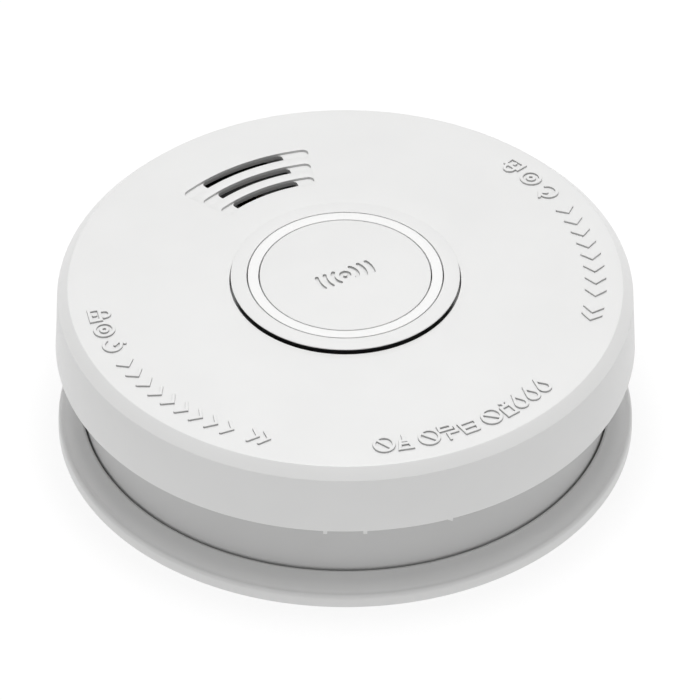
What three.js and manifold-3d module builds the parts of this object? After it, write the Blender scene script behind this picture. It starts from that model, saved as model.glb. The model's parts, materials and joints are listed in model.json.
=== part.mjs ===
// A battery smoke alarm on its ceiling bracket, lying face up.
// Millimetres, +Z up through the test button, origin on the bracket's back face at the centre.
// The battery lies along X. The upper group is turned about Z, which puts the sounder slots at 120 degrees.
import * as THREE from "three";
import { mergeVertices } from "three/addons/utils/BufferGeometryUtils.js";
import Module from "manifold-3d";

const wasm = await Module();
wasm.setup();

// ---- Driving dimensions ------------------------------------------------------------------

const GAP = 0.3; // clearance kept between neighbouring pieces
const SHELL_SEGMENTS = 48;
const BUTTON_SEGMENTS = 36;
const SMALL_SEGMENTS = 16;
const upperTurn = 30; // degrees about +Z from the battery bay to the cover, its sounder and its chamber

const cover = {
  skirtRadius: 60,
  skirtBottom: 20.9,
  shoulderRadius: 59.7,
  shoulderHeight: 34.3,
  faceRadius: 57.6,
  faceHeight: 36.65,
  wellRadius: 24.1,
  wellHeight: 38.85,
  skirtWall: 2.2,
  faceWall: 1.5,
  wellWall: 1.6,
  wellFloorBottom: 33.2,
  wellFloorTop: 34.6,
};
const faceSlope = (cover.wellHeight - cover.faceHeight) / (cover.faceRadius - cover.wellRadius);

const slots = {
  middleRadii: [43.43, 38.58, 33.83],
  width: 2.48,
  middleAngle: 89.6,
  recessHalfAngle: 19,
  recessDepth: 0.58,
  throughHalfAngle: 12.6,
};

const flange = {
  radius: 59.4,
  rimHeight: 2.9,
  lipRadius: 54.5,
  lipHeight: 5.9,
  plateThickness: 2,
  openingRadius: 31,
};

const drum = {
  radius: 54.1,
  wall: 2,
  floorBottom: 3.4,
  floorTop: 5.2,
  inletBottom: 21.3,
  inletTop: 24.5,
  top: 34.2,
  ribs: 16,
};

const hook = {
  angles: [30, 150, 270],
  halfAngle: 5,
  innerRadius: 45.4,
  stemOuterRadius: 47.2,
  headOuterRadius: 49.2,
  headBottom: 5.6,
  top: 7,
  twist: 18,
};

const keyhole = { radius: 40, entryRadius: 4.5, slotHalfWidth: 1.95, sweep: 14, seat: 1, seatMargin: 2 };
const arcSlot = { angles: [90, 270], halfAngle: 11 };

const screwCircle = {
  radius: 40.2,
  angles: [45, 135, 225, 315],
  seat: 14.3,
  accessRadius: 2.75,
  headRadius: 2.45,
};

const board = { bottom: 21.6, top: 23.2, radius: 47 };

const chamber = { y: -27.5, radius: 19, bottom: board.top + GAP, top: 32.8, vanes: 12 };

const sounder = { y: 38.6, radius: 12.9, bottom: board.top + GAP, top: 32 };

const button = {
  radius: 23.75,
  edgeHeight: 39.94,
  topHeight: 40.2,
  crownHeight: 40.3,
  underside: 39,
  ringOuterRadius: 20.2,
  ringInnerRadius: 18,
  capRadius: 17.75,
  bodyRadius: 22.6,
  bodyTop: 38.7,
  bodyDisc: 37.3,
  bodyBottom: 35.8,
  stemBottom: 29.5,
  legAngles: [90, 210, 330],
};
const lightLegX = (button.ringOuterRadius + button.ringInnerRadius) / 2;

const pocket = { halfLength: 21.6, halfWidth: 9.1, top: 19.8, wall: 1.5 };
const pad = { halfLength: 25, yMin: -13.6, yMax: 13, bottom: 0.5, corner: 3 };
const door = { halfLength: 22, yFree: 10.2, thickness: 1.6, hingeY: -11, hingeZ: 1.9, barrelRadius: 1.3 };
const cell = { radius: 8.4, z: 11, negativeEnd: -14.2, positiveEnd: 19.3, nub: 1 };

// ---- Materials ---------------------------------------------------------------------------

const finish = (color, roughness, metalness = 0) =>
  new THREE.MeshStandardMaterial({ color, roughness, metalness });
const paint = {
  shellWhite: finish("#efefed", 0.5),
  bracketWhite: finish("#e9e9e7", 0.55),
  buttonWhite: finish("#f1f1ef", 0.45),
  lightGuide: finish("#fbfbf8", 0.25),
  black: finish("#141414", 0.45),
  board: finish("#1d5b38", 0.5),
  component: finish("#1b1b1d", 0.5),
  redLens: finish("#b3261e", 0.2),
  tintedLens: finish("#27272f", 0.15),
  foam: finish("#2b2b2b", 0.95),
  steel: finish("#b9bcc0", 0.35, 1),
  screen: finish("#a9adb0", 0.4, 1),
  brass: finish("#c8a24a", 0.35, 1),
  ceramic: finish("#d9d9d4", 0.5),
  cellSleeve: finish("#3d5f8f", 0.4),
};

// ---- Solids ------------------------------------------------------------------------------

const radians = THREE.MathUtils.degToRad;
const polar = (radius, degrees) =>
  new THREE.Vector2(radius * Math.cos(radians(degrees)), radius * Math.sin(radians(degrees)));
const faceZ = (radius) => cover.wellHeight - faceSlope * (radius - cover.wellRadius);

// A closed three.js geometry as a manifold-3d solid with its faces pointing out.
function solidOf(geometry) {
  const bare = geometry.index ? geometry.toNonIndexed() : geometry.clone();
  bare.deleteAttribute("normal");
  bare.deleteAttribute("uv");
  const merged = mergeVertices(bare, 1e-4);
  const corners = merged.index.array;
  const triangles = [];
  for (let i = 0; i < corners.length; i += 3) {
    const [a, b, c] = corners.slice(i, i + 3);
    if (a !== b && b !== c && a !== c) triangles.push(a, b, c);
  }
  const build = (triVerts) =>
    new wasm.Manifold(
      new wasm.Mesh({
        numProp: 3,
        vertProperties: new Float32Array(merged.attributes.position.array),
        triVerts: new Uint32Array(triVerts),
      }),
    );
  const made = build(triangles);
  return made.volume() < 0 ? build(triangles.reverse()) : made;
}

// A profile of [radius, z] pairs turned about +Z. It closes on itself, or starts and ends on the axis.
function turned(profile, segments = SHELL_SEGMENTS) {
  const points = profile.map(([radius, z]) => new THREE.Vector2(radius, z));
  if (profile[0][0] > 0) points.push(points[0].clone());
  const lathe = new THREE.LatheGeometry(points, segments);
  lathe.rotateX(Math.PI / 2);
  return solidOf(lathe);
}

function disc(radius, bottom, top, segments = SMALL_SEGMENTS) {
  return turned([[0, bottom], [radius, bottom], [radius, top], [0, top]], segments);
}

function ring(inner, outer, bottom, top, segments = SHELL_SEGMENTS) {
  return turned([[inner, bottom], [outer, bottom], [outer, top], [inner, top]], segments);
}

function block([x0, y0, z0], [x1, y1, z1]) {
  const box = new THREE.BoxGeometry(x1 - x0, y1 - y0, z1 - z0);
  box.translate((x0 + x1) / 2, (y0 + y1) / 2, (z0 + z1) / 2);
  return solidOf(box);
}

function prism(shape, bottom, top, curveSegments = 12) {
  const extruded = new THREE.ExtrudeGeometry(shape, {
    depth: top - bottom,
    bevelEnabled: false,
    curveSegments,
  });
  extruded.translate(0, 0, bottom);
  return solidOf(extruded);
}

// The plan of a slot bent round the axis. Round ends reach the stated angles.
function sectorShape(inner, outer, from, to, roundEnds = false) {
  const shape = new THREE.Shape();
  const middle = (inner + outer) / 2;
  const half = (outer - inner) / 2;
  const inset = roundEnds ? THREE.MathUtils.radToDeg(half / middle) : 0;
  const start = radians(from + inset);
  const end = radians(to - inset);
  shape.absarc(0, 0, outer, start, end, false);
  if (roundEnds) {
    const centre = polar(middle, to - inset);
    shape.absarc(centre.x, centre.y, half, end, end + Math.PI, false);
  }
  shape.absarc(0, 0, inner, end, start, true);
  if (roundEnds) {
    const centre = polar(middle, from + inset);
    shape.absarc(centre.x, centre.y, half, start + Math.PI, start + 2 * Math.PI, false);
  }
  shape.closePath();
  return shape;
}

const join = (first, ...others) => others.reduce((sum, solid) => sum.add(solid), first);
const cut = (first, ...others) => others.reduce((rest, solid) => rest.subtract(solid), first);
const moved = (solid, x, y, z = 0) => solid.translate([x, y, z]);
const turnedBy = (solid, degrees) => solid.rotate([0, 0, degrees]);

// ---- The scene graph ---------------------------------------------------------------------

const smokeAlarm = new THREE.Group();
const bracketGroup = new THREE.Group();
const headGroup = new THREE.Group();
const upperGroup = new THREE.Group();
const buttonGroup = new THREE.Group();
const chamberGroup = new THREE.Group();
const sounderGroup = new THREE.Group();
chamberGroup.position.set(0, chamber.y, 0);
sounderGroup.position.set(0, sounder.y, 0);
upperGroup.rotation.z = radians(upperTurn);
smokeAlarm.add(bracketGroup, headGroup);
headGroup.add(upperGroup);
upperGroup.add(buttonGroup, chamberGroup, sounderGroup);

function place(group, name, solid, material, x = 0, y = 0, z = 0) {
  const made = solid.getMesh();
  const positions = new Float32Array(made.numVert * 3);
  for (let i = 0; i < made.numVert; i += 1) {
    positions.set(made.vertProperties.subarray(i * made.numProp, i * made.numProp + 3), i * 3);
  }
  const geometry = new THREE.BufferGeometry();
  geometry.setAttribute("position", new THREE.BufferAttribute(positions, 3));
  geometry.setIndex(new THREE.BufferAttribute(made.triVerts, 1));
  geometry.computeVertexNormals();
  const mesh = new THREE.Mesh(geometry, material);
  mesh.name = name;
  mesh.position.set(x, y, z);
  group.add(mesh);
}

// ---- Ceiling bracket ---------------------------------------------------------------------

function mountingBracket() {
  const { radius, rimHeight, lipRadius, lipHeight, plateThickness, openingRadius } = flange;
  const plate = turned([
    [openingRadius, 0],
    [56, 0],
    [56, 3.1],
    [57.6, 1.6],
    [57.6, 0],
    [radius, 0],
    [radius, rimHeight - 0.7],
    [radius - 0.9, rimHeight],
    [lipRadius + 0.4, lipHeight],
    [lipRadius, lipHeight],
    [lipRadius, plateThickness],
    [openingRadius, plateThickness],
  ]);
  const hooks = hook.angles.flatMap((angle) => {
    const from = angle - hook.halfAngle;
    const to = angle + hook.halfAngle;
    return [
      prism(sectorShape(hook.innerRadius, hook.stemOuterRadius, from, to), plateThickness / 2, hook.top, 1),
      prism(sectorShape(hook.innerRadius, hook.headOuterRadius, from, to), hook.headBottom, hook.top, 1),
    ];
  });
  const inner = keyhole.radius - keyhole.slotHalfWidth;
  const outer = keyhole.radius + keyhole.slotHalfWidth;
  const screwCuts = [0, 180].flatMap((angle) => {
    const entry = polar(keyhole.radius, angle);
    const tipAngle = THREE.MathUtils.radToDeg(keyhole.slotHalfWidth / keyhole.radius);
    const to = angle + keyhole.sweep + tipAngle;
    return [
      moved(disc(keyhole.entryRadius, -1, plateThickness + 1, 20), entry.x, entry.y),
      prism(sectorShape(inner, outer, angle, to, true), -1, plateThickness + 1, 3),
      prism(
        sectorShape(inner - keyhole.seatMargin, outer + keyhole.seatMargin, angle, to + 2.5, true),
        keyhole.seat,
        plateThickness + 1,
        3,
      ),
    ];
  });
  const arcCuts = arcSlot.angles.flatMap((angle) => {
    const from = angle - arcSlot.halfAngle;
    const to = angle + arcSlot.halfAngle;
    return [
      prism(sectorShape(inner, outer, from, to, true), -1, plateThickness + 1, 3),
      prism(
        sectorShape(inner - keyhole.seatMargin, outer + keyhole.seatMargin, from - 2.5, to + 2.5, true),
        keyhole.seat,
        plateThickness + 1,
        3,
      ),
    ];
  });
  return cut(join(plate, ...hooks), ...screwCuts, ...arcCuts);
}
place(bracketGroup, "mounting_bracket", mountingBracket(), paint.bracketWhite);

const screwPlaces = () => screwCircle.angles.map((angle) => polar(screwCircle.radius, angle + upperTurn));

// ---- Rear housing: floor, drum, smoke inlet ribs, battery pocket and screw bosses ---------

function roundedRectangle(xMin, yMin, xMax, yMax, corner) {
  const shape = new THREE.Shape();
  shape.moveTo(xMin + corner, yMin);
  shape.absarc(xMax - corner, yMin + corner, corner, -Math.PI / 2, 0, false);
  shape.absarc(xMax - corner, yMax - corner, corner, 0, Math.PI / 2, false);
  shape.absarc(xMin + corner, yMax - corner, corner, Math.PI / 2, Math.PI, false);
  shape.absarc(xMin + corner, yMin + corner, corner, Math.PI, 1.5 * Math.PI, false);
  shape.closePath();
  return shape;
}

// A rod lying along X.
function rodAlongX(radius, xMin, xMax, y, z, segments = SMALL_SEGMENTS) {
  return moved(disc(radius, xMin, xMax, segments).rotate([0, 90, 0]), 0, y, z);
}

function rearHousing() {
  const { radius, wall, floorBottom, floorTop, inletBottom, inletTop, top } = drum;
  const inner = radius - wall;
  const shell = turned([
    [0, floorBottom],
    [radius - 0.6, floorBottom],
    [radius, floorBottom + 0.6],
    [radius, inletBottom],
    [inner, inletBottom],
    [inner, floorTop],
    [0, floorTop],
  ]);
  const upperBand = ring(inner, radius, inletTop, top);
  const ribs = Array.from({ length: drum.ribs }, (_, i) =>
    turnedBy(
      block([inner + 0.2, -1, inletBottom - 0.5], [radius - 0.2, 1, inletTop + 0.5]),
      (i + 0.5) * (360 / drum.ribs),
    ),
  );
  const bosses = screwPlaces().map((at) => moved(disc(4.4, floorTop - 1, board.bottom - GAP), at.x, at.y));
  const padBlock = prism(
    roundedRectangle(-pad.halfLength, pad.yMin, pad.halfLength, pad.yMax, pad.corner),
    pad.bottom,
    floorBottom + 0.5,
    3,
  );
  const pocketX = pocket.halfLength + pocket.wall;
  const pocketY = pocket.halfWidth + pocket.wall;
  const pocketBlock = block(
    [-pocketX, -pocketY, floorBottom + 0.5],
    [pocketX, pocketY, pocket.top + pocket.wall - GAP],
  );
  const screwCuts = screwPlaces().flatMap((at) => [
    moved(disc(screwCircle.accessRadius, floorBottom - 1, screwCircle.seat), at.x, at.y),
    moved(disc(1.8, screwCircle.seat - 1, board.bottom, 12), at.x, at.y),
  ]);
  const hookCuts = hook.angles.flatMap((angle) => {
    const spare = hook.halfAngle + 0.6;
    const from = angle - hook.twist - spare;
    const wideTo = angle - hook.twist + spare;
    const to = angle + spare;
    const slotInner = hook.innerRadius - 0.4;
    const narrow = sectorShape(slotInner, hook.stemOuterRadius + 0.4, from, to);
    const wide = sectorShape(slotInner, hook.headOuterRadius + 0.4, from, wideTo);
    return [
      prism(narrow, floorBottom - 1, floorTop + 1, 3),
      prism(wide, floorBottom - 1, floorTop + 1, 1),
    ];
  });
  const innerHinge = door.hingeY + door.barrelRadius + 0.5;
  const pocketCuts = [
    block([-pocket.halfLength, -pocket.halfWidth, 0], [pocket.halfLength, pocket.halfWidth, pocket.top]),
    block(
      [-door.halfLength - 0.4, innerHinge, 0],
      [door.halfLength + 0.4, door.yFree + 0.4, pad.bottom + door.thickness + 0.4],
    ),
    block([-17.6, pad.yMin - 1, 0], [17.6, innerHinge + 0.5, door.hingeZ + door.barrelRadius + 0.4]),
    rodAlongX(1, -19.6, 19.6, door.hingeY, door.hingeZ, 8),
    block([-5, door.yFree - 1, 0], [5, pad.yMax + 1, 1.6]),
    block([20.3, -1.8, pocket.top - 1], [21.5, 1.8, pocket.top + 3]),
    block([-21.5, -1.8, pocket.top - 1], [-20.3, 1.8, pocket.top + 3]),
  ];
  return cut(
    join(shell, upperBand, ...ribs, ...bosses, padBlock, pocketBlock),
    ...screwCuts,
    ...hookCuts,
    ...pocketCuts,
  );
}
place(headGroup, "rear_housing", rearHousing(), paint.shellWhite);

// ---- Top cover: skirt, chamfer, face, sounder slots, button well and screw towers ----------

function topCover() {
  const { skirtWall, faceWall, wellRadius, wellWall, wellFloorBottom, wellFloorTop } = cover;
  const wellOuter = wellRadius + wellWall;
  const shell = turned([
    [2.9, wellFloorBottom],
    [wellOuter, wellFloorBottom],
    [wellOuter, faceZ(wellOuter) - faceWall],
    [cover.faceRadius - 1, faceZ(cover.faceRadius - 1) - faceWall],
    [cover.shoulderRadius - skirtWall, cover.shoulderHeight - 0.8],
    [cover.skirtRadius - skirtWall, cover.skirtBottom],
    [cover.skirtRadius, cover.skirtBottom],
    [cover.shoulderRadius, cover.shoulderHeight],
    [cover.faceRadius, cover.faceHeight],
    [wellRadius, cover.wellHeight],
    [wellRadius, wellFloorTop],
    [2.9, wellFloorTop],
  ]);
  const towerTop = faceZ(screwCircle.radius) - 1;
  const towers = screwCircle.angles.map((angle) => {
    const at = polar(screwCircle.radius, angle);
    return moved(disc(3, board.top + GAP, towerTop, 12), at.x, at.y);
  });
  const pilots = screwCircle.angles.map((angle) => {
    const at = polar(screwCircle.radius, angle);
    return moved(disc(1.7, board.top, 33.5, 10), at.x, at.y);
  });
  const sounderRim = moved(ring(11.6, 13, 33.1, 36.8, 24), 0, sounder.y);
  const marks = [236, 244, 261.4].map((angle) =>
    turnedBy(block([58.6, -0.4, 20.1], [59.8, 0.4, 21.4]), angle),
  );
  const slotCuts = slots.middleRadii.flatMap((middle) => {
    const inner = middle - slots.width / 2;
    const outer = middle + slots.width / 2;
    const { middleAngle: mid, throughHalfAngle, recessHalfAngle } = slots;
    const through = sectorShape(inner, outer, mid - throughHalfAngle, mid + throughHalfAngle);
    const recess = sectorShape(inner, outer, mid - recessHalfAngle, mid + recessHalfAngle, true);
    return [prism(through, 34, 40, 2), prism(recess, faceZ(middle) - slots.recessDepth, 40, 3)];
  });
  const legCuts = button.legAngles.map((angle) =>
    turnedBy(block([19, -2.8, wellFloorBottom - 1], [21, 2.8, wellFloorTop + 1]), angle),
  );
  const lightCut = moved(disc(1.9, wellFloorBottom - 1, wellFloorTop + 1, 12), lightLegX, 0);
  return cut(join(shell, ...towers, sounderRim, ...marks), ...pilots, ...slotCuts, ...legCuts, lightCut);
}
place(upperGroup, "top_cover", topCover(), paint.shellWhite);

// ---- Test button: bezel, light ring, cap and the dark carrier that joins them --------------

function buttonCarrier() {
  const { bodyRadius, bodyTop, bodyDisc, bodyBottom, stemBottom } = button;
  const cup = turned(
    [
      [0, bodyDisc],
      [bodyRadius - 1.4, bodyDisc],
      [bodyRadius - 1.4, bodyBottom],
      [bodyRadius, bodyBottom],
      [bodyRadius, bodyTop],
      [0, bodyTop],
    ],
    32,
  );
  const stem = disc(2.2, stemBottom, bodyDisc + 0.5, 16);
  const legBottom = cover.wellFloorBottom - 2;
  const legs = button.legAngles.flatMap((angle) => [
    turnedBy(block([19.3, -2.5, legBottom], [20.7, 2.5, bodyDisc + 0.5]), angle),
    turnedBy(block([20, -2.5, legBottom], [21.9, 2.5, cover.wellFloorBottom - GAP]), angle),
  ]);
  const lightHole = moved(disc(1.7, bodyDisc - 1, bodyTop + 1, 12), lightLegX, 0);
  return cut(join(cup, stem, ...legs), lightHole);
}
place(buttonGroup, "button_carrier", buttonCarrier(), paint.black);

const bezel = turned(
  [
    [button.ringOuterRadius + 0.25, button.underside],
    [button.bodyRadius, button.underside],
    [button.radius, button.edgeHeight - 0.2],
    [button.radius, button.edgeHeight],
    [button.ringOuterRadius + 0.25, button.topHeight],
  ],
  BUTTON_SEGMENTS,
);
place(buttonGroup, "button_bezel", bezel, paint.buttonWhite);

const lightRing = join(
  ring(button.ringInnerRadius, button.ringOuterRadius, button.underside, button.topHeight, BUTTON_SEGMENTS),
  moved(disc(1.1, 27.8, button.underside + 0.4, 10), lightLegX, 0),
);
place(buttonGroup, "light_ring", lightRing, paint.lightGuide);
const buttonCap = turned(
  [
    [0, button.underside],
    [button.capRadius, button.underside],
    [button.capRadius, button.topHeight],
    [0, button.crownHeight],
  ],
  BUTTON_SEGMENTS,
);
place(buttonGroup, "button_cap", buttonCap, paint.buttonWhite);

// ---- Circuit board and what is soldered to it ---------------------------------------------

function circuitBoard() {
  const { bottom, top, radius } = board;
  const holes = screwPlaces().map((at) => moved(disc(1.9, bottom - 1, top + 1, 10), at.x, at.y));
  const contactSlots = [-20.9, 20.9].map((x) =>
    block([x - 0.6, -1.8, bottom - 1], [x + 0.6, 1.8, top + 1]),
  );
  return cut(disc(radius, bottom, top, BUTTON_SEGMENTS), ...holes, ...contactSlots);
}
place(headGroup, "circuit_board", circuitBoard(), paint.board);

const onBoard = board.top + GAP;
function chip(length, width, height) {
  return block([-length / 2, -width / 2, 0], [length / 2, width / 2, height]);
}
place(upperGroup, "microcontroller", chip(12.8, 7.5, 2.3), paint.component, -31, -8, onBoard);
place(upperGroup, "sounder_driver_chip", chip(5, 4, 1.6), paint.component, 24, 13, onBoard);
place(upperGroup, "boost_inductor", disc(4.5, 0, 8, 24), paint.component, 34, -9, onBoard);
place(upperGroup, "capacitor_large", disc(4, 0, 9, 20), paint.component, -34, 11, onBoard);
place(upperGroup, "capacitor_small", disc(2.5, 0, 7, 16), paint.component, 34, 12, onBoard);

const statusLed = turned([[0, 0], [1.9, 0], [1.9, 0.8], [1.5, 0.8], [1.5, 2], [1, 2.6], [0, 2.9]], 16);
place(upperGroup, "status_led", statusLed, paint.redLens, lightLegX, 0, onBoard);

const switchBody = cut(chip(6, 6, 3.4), disc(2.1, 1.7, 4, 16));
place(upperGroup, "test_switch_body", switchBody, paint.component, 0, 0, onBoard);
place(upperGroup, "switch_plunger", disc(1.75, 0, 3.1, 16), paint.black, 0, 0, 25.6);

// ---- Optical smoke chamber ----------------------------------------------------------------

const opticsHeight = 28.2;
const emitterAngle = 155;
const receiverAngle = 25;

// A vane of the light trap: a chevron that lets air through and stops straight light.
function vane(angle) {
  const chevron = new THREE.Shape();
  const corners = [
    [13.6, -0.4], [15.4, 1.7], [17.2, 0.2], [17.2, 1.2], [15.3, 2.8], [13.6, 0.6],
  ];
  chevron.moveTo(...corners[0]);
  corners.slice(1).forEach((corner) => chevron.lineTo(...corner));
  chevron.closePath();
  return turnedBy(prism(chevron, chamber.bottom + 0.8, chamber.top - 1.3), angle);
}

function chamberBase() {
  const floor = disc(chamber.radius, chamber.bottom, chamber.bottom + 1.2, 24);
  const lip = ring(18.4, chamber.radius, chamber.bottom + 0.6, chamber.bottom + 2, 24);
  const vanes = Array.from({ length: chamber.vanes }, (_, i) => vane(i * (360 / chamber.vanes)));
  const holder = turnedBy(block([7.2, -2.8, chamber.bottom + 0.8], [13, 2.8, 31]), emitterAngle);
  const bore = turnedBy(rodAlongX(1.8, 5, 11.8, 0, opticsHeight, 12), emitterAngle);
  return cut(join(floor, lip, ...vanes, holder), bore);
}
place(chamberGroup, "chamber_base", chamberBase(), paint.black);

const chamberCap = turned(
  [
    [0, chamber.top - 1],
    [18.4, chamber.top - 1],
    [18.4, chamber.top - 2.2],
    [chamber.radius, chamber.top - 2.2],
    [chamber.radius, chamber.top],
    [0, chamber.top],
  ],
  24,
);
place(chamberGroup, "chamber_cap", chamberCap, paint.black);
place(
  chamberGroup,
  "insect_screen",
  ring(17.6, 18.1, chamber.bottom + 1.2 + GAP, chamber.top - 1 - GAP, 24),
  paint.screen,
);

const emitterBody = turned([[0, 0], [1.5, 0], [1.5, 3.4], [1.1, 4.3], [0, 4.8]], 12);
const emitter = turnedBy(moved(emitterBody.rotate([0, -90, 0]), 11.5, 0, opticsHeight), emitterAngle);
place(chamberGroup, "infrared_emitter", emitter, paint.tintedLens);

const diodeBody = join(
  block([9.4, -2, 26.2], [11, 2, 30.2]),
  moved(turned([[0, 0], [1.5, 0], [1.1, 0.9], [0, 1.3]], 12).rotate([0, -90, 0]), 9.6, 0, opticsHeight),
);
place(chamberGroup, "photodiode", turnedBy(diodeBody, receiverAngle), paint.tintedLens);

const shieldShell = cut(
  block([7.6, -3, chamber.bottom + 1.2 + GAP], [12, 3, 31.2]),
  block([7, -2.5, chamber.bottom], [11.5, 2.5, 30.7]),
);
place(chamberGroup, "photodiode_shield", turnedBy(shieldShell, receiverAngle), paint.steel);

// ---- Sounder ------------------------------------------------------------------------------

const horn = turned(
  [
    [3.2, 31],
    [10.6, 31],
    [10.6, 27.6],
    [11.7, 27.6],
    [11.7, sounder.bottom],
    [sounder.radius, sounder.bottom],
    [sounder.radius, sounder.top],
    [3.2, sounder.top],
  ],
  24,
);
place(sounderGroup, "sounder_horn", horn, paint.black);
place(sounderGroup, "sounder_gasket", ring(11.7, 12.8, sounder.top + 0.2, 32.9, 24), paint.foam);
place(sounderGroup, "piezo_disc", disc(11.4, 27, 27.3, 24), paint.brass);
place(sounderGroup, "piezo_ceramic", disc(8, 26.5, 26.8, 20), paint.ceramic);
place(sounderGroup, "sounder_retainer", ring(10.3, 11.4, 24.6, 26.7, 24), paint.black);
place(sounderGroup, "sounder_contact_centre", disc(0.5, board.top + 0.1, 26.3, 8), paint.steel);
place(sounderGroup, "sounder_contact_edge", disc(0.5, board.top + 0.1, 26.8, 8), paint.steel, 9.3, 0);

// ---- Battery, its contacts and its door ---------------------------------------------------

const cellBody = turned(
  [
    [0, cell.negativeEnd],
    [cell.radius - 0.5, cell.negativeEnd],
    [cell.radius, cell.negativeEnd + 0.5],
    [cell.radius, cell.positiveEnd - 0.5],
    [cell.radius - 0.5, cell.positiveEnd],
    [3.4, cell.positiveEnd],
    [3.4, cell.positiveEnd + cell.nub],
    [0, cell.positiveEnd + cell.nub],
  ],
  28,
).rotate([0, 90, 0]);
place(headGroup, "battery_cell", cellBody, paint.cellSleeve, 0, 0, cell.z);

function contactPlate(xMin, xMax) {
  return join(block([xMin, -6, 4.6], [xMax, 6, 17.4]), block([xMin, -1.5, 17], [xMax, 1.5, 22.8]));
}
place(headGroup, "contact_positive", contactPlate(20.7, 21.1), paint.steel);
place(headGroup, "contact_negative", contactPlate(-21.1, -20.7), paint.steel);

// The conical spring that presses the cell against the positive contact.
class SpringPath extends THREE.Curve {
  getPoint(t, target = new THREE.Vector3()) {
    const turns = 3;
    const angle = 2 * Math.PI * turns * t;
    const radius = 4.4 - 1.6 * t;
    return target.set(-20 + 5 * t, radius * Math.cos(angle), radius * Math.sin(angle));
  }
}
const wire = new THREE.Shape();
wire.absarc(0, 0, 0.35, 0, 2 * Math.PI, false);
const springCoil = new THREE.ExtrudeGeometry(wire, {
  extrudePath: new SpringPath(),
  steps: 30,
  curveSegments: 3,
  bevelEnabled: false,
});
place(headGroup, "battery_spring", solidOf(springCoil), paint.steel, 0, 0, cell.z);

function batteryDoor() {
  const top = pad.bottom + door.thickness;
  const plateFrom = door.hingeY + 2.5;
  const plate = block([-door.halfLength, plateFrom, pad.bottom], [door.halfLength, door.yFree, top]);
  const web = block([-17.2, door.hingeY, pad.bottom + 0.2], [17.2, plateFrom + 0.5, top]);
  const barrel = rodAlongX(door.barrelRadius, -17.2, 17.2, door.hingeY, door.hingeZ, 16);
  const pins = rodAlongX(0.7, -19.3, 19.3, door.hingeY, door.hingeZ, 12);
  const latches = [-15, 15].map((x) => block([x - 2, 8.1, top - 0.5], [x + 2, 8.8, top + 1.9]));
  return join(plate, web, barrel, pins, ...latches);
}
place(headGroup, "battery_door", batteryDoor(), paint.shellWhite);

// ---- Housing screws -----------------------------------------------------------------------

const screwSolid = cut(
  join(disc(screwCircle.headRadius, 0, 2, 14), disc(1.3, 1.5, 19, 8)),
  block([-1.7, -0.35, -0.5], [1.7, 0.35, 1]),
  block([-0.35, -1.7, -0.5], [0.35, 1.7, 1]),
);
screwPlaces().forEach((at, i) => {
  place(headGroup, `housing_screw_${i + 1}`, screwSolid, paint.steel, at.x, at.y, screwCircle.seat - 2 - GAP);
});

export default smokeAlarm;
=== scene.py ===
import json
import math

import bmesh
import bpy
from mathutils import Matrix, Vector


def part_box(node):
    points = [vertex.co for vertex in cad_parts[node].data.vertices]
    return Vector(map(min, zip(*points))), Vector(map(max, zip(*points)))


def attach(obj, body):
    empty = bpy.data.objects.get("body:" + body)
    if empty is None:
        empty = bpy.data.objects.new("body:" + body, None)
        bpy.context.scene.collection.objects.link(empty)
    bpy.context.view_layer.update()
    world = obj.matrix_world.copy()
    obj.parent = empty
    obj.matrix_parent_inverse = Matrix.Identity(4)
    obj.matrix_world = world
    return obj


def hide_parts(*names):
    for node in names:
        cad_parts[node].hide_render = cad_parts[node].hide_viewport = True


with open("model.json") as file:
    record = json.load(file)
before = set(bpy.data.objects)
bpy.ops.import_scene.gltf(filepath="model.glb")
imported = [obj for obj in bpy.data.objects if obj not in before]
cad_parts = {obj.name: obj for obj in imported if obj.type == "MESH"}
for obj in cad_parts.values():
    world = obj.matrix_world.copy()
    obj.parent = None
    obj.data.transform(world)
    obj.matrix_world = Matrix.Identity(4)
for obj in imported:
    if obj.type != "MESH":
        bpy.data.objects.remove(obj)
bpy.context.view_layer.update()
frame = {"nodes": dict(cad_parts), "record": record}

# A battery smoke alarm on its ceiling bracket, lying face up. Lengths below are millimetres, and MM
# turns them into Blender's metres. Angles are degrees about +Z from +X.

MM = 0.001
FINE = 256  # steps round a large turned piece, a middling one and a small one
MEDIUM = 96
SMALL = 32
FILLET_STEPS = 4
CORNER_STEPS = 6
SHARP_ANGLE = math.radians(32)

nodes = frame["nodes"]
HEAD = "alarm_head"


def reach(node):
    """The largest X of a CAD node, in millimetres: the radius of a turned one."""
    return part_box(node)[1].x / MM


def low(node):
    """The lowest Z of a CAD node, in millimetres."""
    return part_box(node)[0].z / MM


def high(node):
    """The highest Z of a CAD node, in millimetres."""
    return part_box(node)[1].z / MM


# ---- Driving dimensions, from the frame where it holds them ------------------------------------

SKIRT_RADIUS = reach("top_cover")
SKIRT_BOTTOM = 20.9
SHOULDER_RADIUS = SKIRT_RADIUS - 0.3
SHOULDER_HEIGHT = 34.3
FACE_RADIUS = SKIRT_RADIUS - 2.4
FACE_HEIGHT = 36.65
WELL_RADIUS = 24.1
WELL_WALL = WELL_RADIUS - 0.1
WELL_HEIGHT = high("top_cover")
SKIRT_WALL = 2.2
FACE_WALL = 1.5
WELL_FLOOR_BOTTOM = 33.2
WELL_FLOOR_TOP = 34.6
FACE_SLOPE = (WELL_HEIGHT - FACE_HEIGHT) / (FACE_RADIUS - WELL_RADIUS)

UPPER_TURN = 30
SCREW_CIRCLE = 40.2
SCREW_ANGLES = [45 + UPPER_TURN + 90 * i for i in range(4)]
HOOK_ANGLES = [30, 150, 270]

DRUM_RADIUS = reach("rear_housing")
FLANGE_RADIUS = reach("mounting_bracket")
LIP_RADIUS = 54.5
LIP_HEIGHT = 5.9
RIM_HEIGHT = 2.9

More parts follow.
